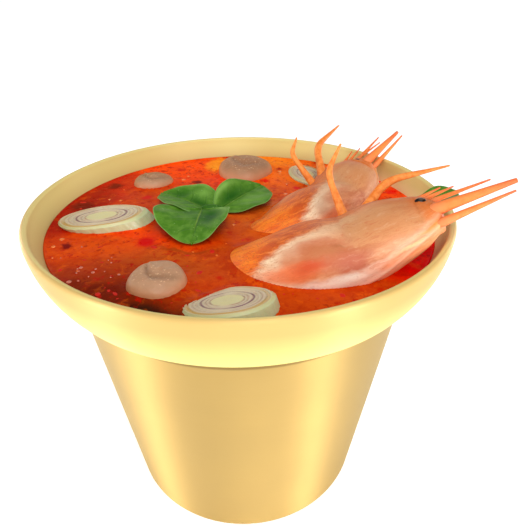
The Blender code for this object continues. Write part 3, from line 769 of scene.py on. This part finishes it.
# ---- basil --------------------------------------------------------------------------------
# stalk end, direction, rise and roll in degrees, length, widths of the left and the right half,
# curls of both, arch, and how far towards the tip the widest part lies
SPRIG_LEAVES = {
    "leaf_front": ((-16, 1.4, 3), -92, -3, 0, 26, 12.8, 17.4, 0.55, 0.45, 1.4, 0.6),
    "leaf_left": ((-12.6, 4.8, 1.4), 149, 4, 0, 25.5, 12.4, 12.6, 0.5, 0.45, 0.6, 0.8),
    "leaf_right": ((-9.4, 4.2, 1.4), 52, 4, 6, 28, 10.2, 13.5, 0.75, 0.35, 0.6, 1.05),
}
RIM_LEAF = ((60, -1, 1.6), 3, 21, 0, 26, 6.2, 8, 0.5, 0.5, 1.2, 2.8)
SPRIG_KNOT, KNOT_RADII, KNOT_ROWS, KNOT_TURNS = (-12.2, 4.6, 2.3), (4.2, 1.8, 1.1), 18, 24
LEAF_SKINS = (0.32, -0.30)
LEAF_STALK_HALF = 0.7
LEAF_ROUNDNESS = 0.5
LEAF_ROWS, LEAF_COLUMNS = 110, 44
# hollows of each leaf, sunk into its form and darkened with painted shade, and its pale patches
# of painted light where edges and curves face the light: place along and aside, reach in both,
# depth
LEAF_HOLLOWS = {
    "leaf_front": ((0.30, 0.36, 0.26, 0.34, 1.3), (0.14, -0.2, 0.12, 0.35, 0.6)),
    "leaf_left": ((0.28, -0.16, 0.26, 0.24, 1), (0.70, -0.30, 0.16, 0.34, 0.9)),
    "leaf_right": ((0.40, 0.30, 0.32, 0.30, 1.1), (0.72, 0.10, 0.14, 0.2, 0.5)),
}
# painted light: pale patches of each leaf, in the same columns as the hollows
LEAF_PALE = {
    "leaf_front": ((0.10, 0.85, 0.20, 0.14, 0.6),),
    "leaf_left": ((0.36, -0.62, 0.18, 0.22, 0.4), (0.6, -0.95, 0.4, 0.1, 0.5)),
    "leaf_right": ((0.35, 0.86, 0.30, 0.14, 0.8), (0.5, -0.45, 0.25, 0.3, 0.4)),
}


def oval_fade(t, s, ovals):
    """Greatest of some soft ovals, for the hollows and pale edges of a leaf."""
    return max([depth * exp(-((t - t0) / dt) ** 2 - ((s - s0) / ds) ** 2)
                for t0, s0, dt, ds, depth in ovals] or [0])


def leaf_skins(spec, hollows):
    """Upper and lower skins of a quilted, cupped leaf: points and places on the leaf."""
    stalk, direction, rise, roll, length, left, right, left_curl, right_curl, arch, peak = spec
    place = (Matrix.Translation((stalk[0], stalk[1], SOUP_Z + stalk[2]))
             @ Matrix.Rotation(radians(direction), 4, "Z")
             @ Matrix.Rotation(radians(-rise), 4, "Y")
             @ Matrix.Rotation(radians(roll), 4, "X"))
    skins = []
    for skin in LEAF_SKINS:
        for row in range(LEAF_ROWS + 1):
            t = row / LEAF_ROWS
            outline = max(sin(pi * t ** peak), 0) ** LEAF_ROUNDNESS
            for column in range(-LEAF_COLUMNS, LEAF_COLUMNS + 1):
                s = column / LEAF_COLUMNS
                share = abs(s)
                width, curl = (left, left_curl) if s > 0 else (right, right_curl)
                radius = width / curl
                half = max(width * outline, LEAF_STALK_HALF)
                angle = share * half / radius
                phase = (t - VEIN_BOW * share ** 1.5) * VEINS + (VEIN_OFFSET if s > 0 else 0)
                quilt = sin(pi * phase) ** 2 * min(1, 3 * share) * (1 - share ** 4)
                rib = bell(share * half, 0, 0.45)
                frill = 0.30 * share ** 3 * sin(5 * t * pi + length + (2 if s > 0 else 0))
                lift = skin * (1 - 0.75 * share ** 8) + 0.24 * quilt - 0.12 + frill
                lift += 0.10 * wave(length * t, 12 * s, length, 5)
                lift -= (0.30 if skin > 0 else 0.45) * rib
                lift -= 0.9 * oval_fade(t, s, hollows)
                y = radius * sin(angle) - lift * sin(angle)
                z = radius * (1 - cos(angle)) + lift * cos(angle) + arch * sin(pi * t)
                skins.append((place @ Vector((length * t, y if s > 0 else -y, z)), t, s))
    return skins


def leaf_faces(start):
    """Both skins of a leaf and the narrow strip round its edge."""
    rows, columns = LEAF_ROWS + 1, 2 * LEAF_COLUMNS + 1
    lower = rows * columns
    faces = grid_faces(rows, columns, start, wrap=False)
    faces += grid_faces(rows, columns, start + lower, wrap=False)
    rim = [start + i for i in range(columns)]
    rim += [start + row * columns + columns - 1 for row in range(1, rows)]
    rim += [start + (rows - 1) * columns + i for i in reversed(range(columns - 1))]
    rim += [start + row * columns for row in reversed(range(1, rows - 1))]
    return faces + [(a, b, b + lower, a + lower) for a, b in zip(rim, rim[1:] + rim[:1])]


def make_leaves(name, specs, material, node):
    form = Form("leaf_t", "leaf_s", "hollow_shade", "pale")
    for key, spec in specs.items():
        hollows, pale = LEAF_HOLLOWS.get(key, ()), LEAF_PALE.get(key, ())
        form.faces += leaf_faces(len(form.points))
        for point, t, s in leaf_skins(spec, hollows):
            form.add(point, t, s, oval_fade(t, s, hollows), oval_fade(t, s, pale))
    if node == "basil_sprig":
        # the knot that joins the stalks
        form.close(KNOT_ROWS - 1, KNOT_TURNS)
        knot = Vector(SPRIG_KNOT) + UP * SOUP_Z
        for polar, turn in ball_angles(KNOT_ROWS, KNOT_TURNS) + [(0, 0), (pi, 0)]:
            ball = (cos(polar), sin(polar) * cos(turn), sin(polar) * sin(turn))
            # the knot is painted dark with the hollows' shade
            form.add(knot + Vector([a * b for a, b in zip(ball, KNOT_RADII)]), 0.5, 0.5, 0.8, 0)
    return piece(name, form, material, node)


# ---- prawns -------------------------------------------------------------------------------
PRAWN_ROWS = [
    # place along, height of the middle, half height, half width
    (-11.1, -16.4, 0.5, 0.5),
    (-9.3, -13.4, 6.4, 6.9),
    (-2.8, -9.5, 10.1, 10.9),
    (7.4, -4.3, 11.3, 15.9),
    (20.4, 1.3, 12.1, 17.9),
    (33.4, 3.6, 12, 16.5),
    (44.5, 8.6, 10.9, 15.1),
    (54.7, 11.6, 8.3, 12.2),
    (61.6, 13.6, 5.6, 6.8),
    (64.4, 14.4, 0.5, 0.5),
]
PRAWN_CURL, PRAWN_CURL_CENTRE, PRAWN_CURL_SPAN = 11.9, 30, 40
PRAWN_PITCH_PIVOT = 10
PRAWN_SUBSTEPS, PRAWN_SEGMENTS = 14, 128
BELLY = 50   # the belly's place in the colours' map of the shell, with the back at 0
# swellings of the head, a spur and two low ones where the big horns leave the shell: place
# along, degrees round, reach along, spread in degrees, height
HEAD_SWELLINGS = ((59.8, 193, 1.7, 13, 1.5), (59.4, 134, 3, 24, 1.9),
                  (59, 168, 2.6, 18, 1.4))
HORN_STEPS, HORN_FLARE, HORN_TRIM = 26, 0.04, 0.001
LEG_STEPS, LEG_FLAT, LEG_TRIM = (10, 12, 14), 0.9, 0.003
LIMB_SEGMENTS = 20
PRAWN_EYE, PRAWN_EYE_RADII, EYE_ROWS, EYE_COLUMNS = (56.8, 3.7), (2, 1.5, 1.1), 24, 40
PRAWNS = {
    # map_shift moves the colours along, slim narrows the upper far flank, patch is the strength
    # of the red patch; feelers have root, tip, thickness at both; legs have root, knee, tip and
    # thickness at the root and in the middle
    "prawn_front": {
        "place": (4.1, -36.4, 0), "turn": 4.1, "pitch": 0, "roll": -3.3, "eyes": (1, -1),
        "map_shift": 0, "slim": 0.06, "patch": 1,
        "feelers": [
            ((55, 0, 16), (83.5, -3.1, 28.8), 5.2, 1.6),
            ((57, -4.6, 13.6), (83.8, -3.6, 25.5), 3.6, 0.7),
            ((58, 6, 17), (79, 4, 26.4), 2.2, 0.6),
            ((57.5, 8, 17.2), (69.4, 8.7, 22.4), 2, 0.5),
            ((57, 10.5, 16.6), (66.1, 11.3, 21), 1.8, 0.5),
        ],
        "legs": [
            ((35, 11, 8), (29.1, 23.2, 22.8), (33.8, 25.9, 32.5), 4.2, 2.3),
            ((37, 8, 10), (49.8, 20.9, 20.1), (72.8, 21.4, 25.1), 5, 3),
        ],
    },
    "prawn_back": {
        "place": (18, -8.9, -0.4), "turn": 51.7, "pitch": -11.3, "roll": -8.2, "eyes": (1,),
        "map_shift": 2.6, "slim": 0.2, "patch": 0.4,
        "feelers": [
            ((55, 0.8, 17), (82.4, -2, 32.8), 5, 1.5),
            ((57, -3, 15.6), (79, -6, 32), 3, 0.7),
            ((58, 6.2, 17), (78.4, 5.2, 29.3), 2.2, 0.6),
            ((58, 7.2, 17.4), (76.5, 3.2, 27.2), 1.9, 0.5),
            ((57.5, 9, 16.8), (69.2, 9.5, 23.5), 1.9, 0.5),
            ((57, 10.8, 16.2), (66, 11.8, 21.8), 1.8, 0.5),
        ],
        "legs": [
            ((35, 11, 8), (29.3, 22.2, 20.4), (34.4, 23.9, 27.1), 4.2, 2.3),
            ((37, 8, 10), (49.5, 22.2, 23), (71.8, 24.4, 31.9), 5, 3),
        ],
    },
}


def smooth_row(rows, position):
    """Catmull-Rom value between the rows, position counted in rows."""
    last = len(rows) - 1
    i = min(int(position), last - 1)
    t = position - i
    a, b, c, d = (rows[min(max(k, 0), last)] for k in (i - 1, i, i + 1, i + 2))
    return tuple(0.5 * (2 * q + (r - p) * t + (2 * p - 5 * q + 4 * r - s) * t * t
                        + (3 * q - p - 3 * r + s) * t ** 3)
                 for p, q, r, s in zip(a, b, c, d))


def pitched(point, pitch):
    """A point tipped with the prawn about its pivot."""
    reach = point[0] - PRAWN_PITCH_PIVOT
    return Vector((PRAWN_PITCH_PIVOT + reach * cos(pitch) - point[2] * sin(pitch), point[1],
                   point[2] * cos(pitch) + reach * sin(pitch)))


def shell_relief(along, degrees):
    """Height over the plain form and a 0 to 1 value on its ridges. 180 degrees is the back."""
    keel_turn = interp(along, (30, 35, 46, 54, 62), (206, 201, 181, 166, 160))
    keel_fade = interp(along, (28, 36, 58, 62), (0, 1, 1, 0))
    keel = bell(degrees, keel_turn, 4.5) * keel_fade
    second = bell(degrees, keel_turn - 17, 5) * keel_fade * 0.6
    mirrored = degrees if degrees <= 180 else 360 - degrees
    orbit = interp(mirrored, (96, 106, 128, 142), (56.6, 55.2, 53.4, 52.8))
    orbit_fade = interp(mirrored, (88, 98, 134, 146), (0, 1, 1, 0))
    groove = bell(along, orbit, 0.6) * orbit_fade
    brow = bell(along, orbit + 1.4, 0.9) * orbit_fade
    neck = interp(mirrored, (40, 90, 140, 180), (46, 41, 37, 34))
    fold = bell(along, neck, 1.5) * 0.6
    height = 0.45 * keel + 0.25 * second - 0.38 * groove + 0.22 * brow - 0.16 * fold
    for place, turn, reach, spread, swell in HEAD_SWELLINGS:
        height += swell * bell(along, place, reach) * bell(degrees, turn, spread)
    return height, min(1, keel + second)


def add_limb(form, path, widths, flat=1, leg=0):
    """A tapered tube along a path, closed at both ends, oval if flat is under 1."""
    last = len(path) - 1
    form.close(last + 1, LIMB_SEGMENTS)
    side = (path[1] - path[0]).normalized().cross(UP).normalized()
    for i, middle in enumerate(path):
        ahead = (path[min(i + 1, last)] - path[max(i - 1, 0)]).normalized()
        side = (side - ahead * side.dot(ahead)).normalized()
        up = side.cross(ahead)
        half = 0.5 * widths[i]
        for k in range(LIMB_SEGMENTS):
            angle = 2 * pi * k / LIMB_SEGMENTS
            point = middle + side * (half * cos(angle)) + up * (half * flat * sin(angle))
            form.add(point, i / last, angle if angle <= pi else angle - 2 * pi, 1, leg)
    form.add(path[0], 0, 0, 1, leg)
    form.add(path[-1], 1, 0, 1, leg)


def add_shell(form, spec, rows, pitch):
    roll, last = radians(spec["roll"]), len(rows) - 1
    middles = []
    for along, height, _, _ in rows:
        middle = pitched((along, 0, height), pitch)
        middle.y = PRAWN_CURL * ((along - PRAWN_CURL_CENTRE) / PRAWN_CURL_SPAN) ** 2
        middles.append(middle)
    form.close(last + 1, PRAWN_SEGMENTS)
    for i, (along, _, half_height, half_width) in enumerate(rows):
        ahead = (middles[min(i + 1, last)] - middles[max(i - 1, 0)]).normalized()
        side = UP.cross(ahead).normalized()
        up = cos(roll) * ahead.cross(side) - sin(roll) * side
        across = up.cross(ahead)
        ends = min(1, half_width / 5)
        slim = spec["slim"] * interp(along, (-8, 0, 32, 48), (0, 1, 1, 0))
        for k in range(PRAWN_SEGMENTS):
            angle, degrees = 2 * pi * k / PRAWN_SEGMENTS, 360 * k / PRAWN_SEGMENTS
            height, ridge = shell_relief(along, degrees)
            far = 1 - slim * bell(degrees, 65, 42)
            swell = height * ends + 0.10 * ends * wave(along, 8 * cos(angle), 8 * sin(angle), 5)
            form.add(middles[i] + (half_height + swell) * sin(angle) * far * up
                     + (half_width + swell) * cos(angle) * far * across,
                     along + spec["map_shift"], (180 - degrees) / 180 * BELLY, 0,
                     ridge * ends)
    for end in (0, last):
        form.add(middles[end], rows[end][0], 0, 0, 0)


def add_horn(form, feeler, pitch):
    root, tip, thick, thin = feeler
    root, tip = pitched(root, pitch), pitched(tip, pitch)
    tip = tip + (root - tip) * HORN_TRIM
    widths = []
    for i in range(HORN_STEPS + 1):
        t = i / HORN_STEPS
        flare = 1 + HORN_FLARE * bell(t, 0.18, 0.10)
        widths.append((thick + (thin - thick) * t ** 0.9) * flare * min(1, 0.4 + 3.2 * t))
    add_limb(form, [Vector(p) for p in between(root, tip, HORN_STEPS)], widths)


def add_leg(form, leg, pitch):
    root, knee, tip = (pitched(point, pitch) for point in leg[:3])
    thick, middle = leg[3:]
    tip = tip + (knee - tip) * LEG_TRIM
    before, after = knee + (root - knee) * 0.28, knee + (tip - knee) * 0.28
    path = [Vector(p) for p in between(root, before, LEG_STEPS[0])[:-1]
            + bezier(before, knee, after, LEG_STEPS[1]) + between(after, tip, LEG_STEPS[2])[1:]]
    widths = [interp(i / (len(path) - 1), (0, 0.28, 0.42, 0.62, 1),
                     (thick, middle * 1.05, middle * 1.12, middle * 0.86, 0.7))
              for i in range(len(path))]
    add_limb(form, path, widths, LEG_FLAT, 1)


def make_eyes(name, spec, rows, pitch, place, material):
    """The black eyes, each with a soft ring of light on its upper side."""
    form = Form("glint")
    along, across = PRAWN_EYE
    row = min(rows, key=lambda r: abs(r[0] - along))
    for flank in spec["eyes"]:
        centre = pitched((along, across, row[1] + flank * (row[2] - 0.4)), pitch)
        form.close(EYE_ROWS - 1, EYE_COLUMNS)
        for polar, turn in ball_angles(EYE_ROWS, EYE_COLUMNS):
            unit = (sin(polar) * cos(turn), sin(polar) * sin(turn), cos(polar))
            ring = sqrt((unit[0] / 0.42) ** 2 + (unit[1] / 0.5) ** 2)
            form.add(centre + Vector([u * s for u, s in zip(unit, PRAWN_EYE_RADII)]),
                     0.6 * bell(ring, 0.8, 0.35) if unit[2] > 0 else 0)
        form.add(centre + UP * PRAWN_EYE_RADII[2], 0)
        form.add(centre - UP * PRAWN_EYE_RADII[2], 0)
    piece(name + "_eyes", form, material, place=place)


def make_prawn(name, spec, material, eye_material):
    pitch = radians(spec["pitch"])
    place = (Matrix.Translation(Vector(spec["place"]) + UP * SOUP_Z)
             @ Matrix.Rotation(radians(spec["turn"]), 4, "Z"))
    rows = [smooth_row(PRAWN_ROWS, i / PRAWN_SUBSTEPS)
            for i in range((len(PRAWN_ROWS) - 1) * PRAWN_SUBSTEPS + 1)]
    form = Form("along", "turn", "limb", "ridge")
    add_shell(form, spec, rows, pitch)
    for feeler in spec["feelers"]:
        add_horn(form, feeler, pitch)
    for leg in spec["legs"]:
        add_leg(form, leg, pitch)
    form.fields["patch"] = [spec["patch"]] * len(form.points)
    body = piece(name + "_shell", form, material, name, place)
    make_eyes(name, spec, rows, pitch, place, eye_material)
    return body


# ---- what floats in the broth ---------------------------------------------------------------
FLAKE_POINTS, FLAKE_SINK = 14, 0.12
FLOAT_RADIUS, TRIES = 72, 60   # flakes lie within this radius; draws allowed for each
COVER = 60                     # a topping up to this far above the broth hides a place


def free_spots(count, spacing, seed, keep, tree, clear):
    """Places on the broth that keep() accepts, apart from each other and from the toppings."""
    draw = random.Random(seed)
    spots = []
    for _ in range(count * TRIES):
        if len(spots) >= count:
            break
        radius, angle = FLOAT_RADIUS * sqrt(draw.random()), 2 * pi * draw.random()
        x, y = radius * cos(angle), radius * sin(angle)
        if draw.random() > keep(x, y):
            continue
        if any((x - a) ** 2 + (y - b) ** 2 < spacing ** 2 for a, b in spots):
            continue
        near = tree.find_nearest(Vector((x, y, SOUP_Z)) * MM, clear * MM)
        hit = tree.ray_cast(Vector((x, y, SOUP_Z + COVER)) * MM, -UP, COVER * MM)
        if near[0] is None and hit[0] is None:
            spots.append((x, y))
    return spots


def scatter_flakes(name, spots, sizes, heights, material, seed, dome, jag):
    """Thin irregular flakes or round drops lying in the surface, all in one mesh."""
    draw = random.Random(seed)
    form = Form()
    for x, y in spots:
        size = sizes[0] + (sizes[1] - sizes[0]) * draw.random() ** 2.2
        stretch = 1 + jag * 1.6 * draw.random()
        turn = 2 * pi * draw.random()
        radii = [1 + jag * (draw.random() - 0.5) for _ in range(FLAKE_POINTS)]
        thick = heights[0] + (heights[1] - heights[0]) * draw.random()
        base = SOUP_Z + ripple(x, y)
        lean_x, lean_y = (draw.random() - 0.5) * 0.12 * jag, (draw.random() - 0.5) * 0.12 * jag
        form.close(3, FLAKE_POINTS)
        for share, lift in ((1, -FLAKE_SINK), (1, dome * thick), (0.72, 0.85 * thick)):
            for k, reach in enumerate(radii):
                angle = 2 * pi * k / FLAKE_POINTS
                a = size * share * reach * stretch * cos(angle)
                b = size * share * reach / stretch * sin(angle)
                px, py = a * cos(turn) - b * sin(turn), a * sin(turn) + b * cos(turn)
                form.add((x + px, y + py, base + lift + lean_x * px + lean_y * py))
        form.points += [(x, y, base - FLAKE_SINK), (x, y, base + thick)]
    piece(name, form, material)


# ---- stage ----------------------------------------------------------------------------------
FLOOR_RADIUS, FLOOR_Z, FLOOR_SIDES = 12, -0.0002, 96   # metres
# height over the horizon (0 to 1) and brightness: bright near the horizon, dim above it, and
# bright again overhead like a soft box
SKY = ((0, 1.05), (0.12, 0.9), (0.24, 0.9), (0.42, 0.24), (0.80, 0.24), (0.95, 0.7))
LIGHT_TARGET = Vector((0, 0, 0.09))
CAMERA_PLACE, CAMERA_DROP, CAMERA_LENS = (0.00842, -0.1768, 0.20686), 30.8, 33.41


def toward(azimuth, elevation):
    a, e = radians(azimuth), radians(elevation)
    return Vector((cos(e) * cos(a), cos(e) * sin(a), sin(e)))


def make_stage():
    made = Shade("pale_floor", Roughness=0.7)
    tone = made.mix(made.noise(made.spot(), 180), (238.6,) * 3, (242.25,) * 3)
    made.join(tone, made.shader.inputs["Base Color"])
    made.shader.inputs["Emission Color"].default_value = (1, 1, 1, 1)
    made.shader.inputs["Emission Strength"].default_value = 0.26
    mesh = bpy.data.meshes.new("pale_floor")
    ring = turned_points([(FLOOR_RADIUS, FLOOR_Z)], FLOOR_SIDES)
    mesh.from_pydata(ring, [], [tuple(range(FLOOR_SIDES))])
    mesh.materials.append(made.material)
    placed("pale_floor", mesh)

    world = bpy.data.worlds.new("soft_studio")
    world.use_nodes = True
    tree = world.node_tree
    sky = tree.nodes["Background"]
    sky.inputs["Color"].default_value = (1, 1, 1, 1)
    where = tree.nodes.new("ShaderNodeTexCoord")
    split = tree.nodes.new("ShaderNodeSeparateXYZ")
    ramp = tree.nodes.new("ShaderNodeValToRGB")
    tree.links.new(where.outputs["Generated"], split.inputs[0])
    tree.links.new(split.outputs["Z"], ramp.inputs["Fac"])
    tree.links.new(ramp.outputs["Color"], sky.inputs["Strength"])
    stops = ramp.color_ramp.elements
    for number, (place, value) in enumerate(SKY):
        stop = stops[number] if number < 2 else stops.new(place)
        stop.position = place
        stop.color = (value, value, value, 1)
    bpy.context.scene.world = world


def strip_light(name, azimuth, elevation, distance, size, power):
    """A soft box of size metres, at a distance in metres."""
    lamp = bpy.data.lights.new(name, "AREA")
    lamp.shape = "RECTANGLE"
    lamp.size, lamp.size_y = size
    lamp.energy = power
    holder = placed(name, lamp)
    away = toward(azimuth, elevation)
    holder.location = LIGHT_TARGET + distance * away
    holder.rotation_euler = (-away).to_track_quat("-Z", "Y").to_euler()
    holder.visible_camera = False


def soft_sun(name, azimuth, elevation, spread, strength):
    """A distant light as wide as spread degrees, for an even floor."""
    lamp = bpy.data.lights.new(name, "SUN")
    lamp.energy = strength
    lamp.angle = radians(spread)
    aim = (-toward(azimuth, elevation)).to_track_quat("-Z", "Y")
    placed(name, lamp).rotation_euler = aim.to_euler()


def make_camera():
    lens = bpy.data.cameras.new("camera")
    lens.lens = CAMERA_LENS
    lens.sensor_width = 36
    lens.clip_start = 0.01
    camera = placed("camera", lens)
    camera.location = CAMERA_PLACE
    camera.rotation_euler = (radians(90 - CAMERA_DROP), 0, 0)
    bpy.context.scene.camera = camera
    bpy.context.scene.view_settings.view_transform = "Standard"


make_camera()
make_stage()
strip_light("left_strip", -149, 8, 0.62, (0.13, 0.36), 2.3)
strip_light("right_strip", -43, 8, 0.62, (0.12, 0.36), 2.3)
soft_sun("front_key", -78, 46, 32, 1.4)
soft_sun("overhead_soft", -80, 80, 50, 0.6)
strip_light("back_left_strip", 150, 6, 0.7, (0.09, 0.36), 0.9)
strip_light("back_right_strip", 30, 6, 0.7, (0.09, 0.36), 0.6)
make_bowl(gold_material())
flesh, stalk, leaf_skin = mushroom_material(), lemongrass_material(), basil_material()
toppings = [make_mushroom(name, spec, flesh) for name, spec in MUSHROOMS.items()]
toppings += [make_slice(name, spec, stalk) for name, spec in SLICES.items()]
toppings += [make_leaves("basil_leaves", SPRIG_LEAVES, leaf_skin, "basil_sprig"),
             make_leaves("basil_leaf_by_rim", {"rim_leaf": RIM_LEAF}, leaf_skin, "basil_leaf")]
shell, eye_black = prawn_material(), prawn_eye_material()
toppings += [make_prawn(name, spec, shell, eye_black) for name, spec in PRAWNS.items()]
topping_tree = search_tree(toppings)
make_broth(broth_material(), topping_tree)

chilli = speck_material("chilli_flake", (176, 14, 0), (222, 30, 0), 1.4, 0.55, 0, 0)
spots = free_spots(80, 2, 5, lambda x, y: 0.12 + 0.88 * (wave(x, y, 0, 15, 5) > 0.12),
                   topping_tree, 1.2)
scatter_flakes("chilli_flakes", spots, (0.3, 1.2), (0.03, 0.07), chilli, 6, 0.2, 0.36)
oil = speck_material("chilli_oil_drop", (232, 96, 20), (246, 130, 40), 2, 0.08, 1, 0.2)
spots = free_spots(36, 2.6, 9, lambda x, y: 0.3 + 0.7 * (wave(x, y, 0, 21, 1) > 0.05),
                   topping_tree, 1.4)
scatter_flakes("oil_drops", spots, (0.3, 1.3), (0.08, 0.2), oil, 10, 0.3, 0.06)
froth = speck_material("froth_bubble", (186, 92, 70), (214, 138, 118), 1, 0.2, 0.3, 0.3)
spots = free_spots(30, 1.2, 13, lambda x, y: bell(x, -50, 13) * bell(y, -40, 9),
                   topping_tree, 1)
scatter_flakes("froth_bubbles", spots, (0.25, 0.8), (0.12, 0.3), froth, 14, 0.5, 0.04)
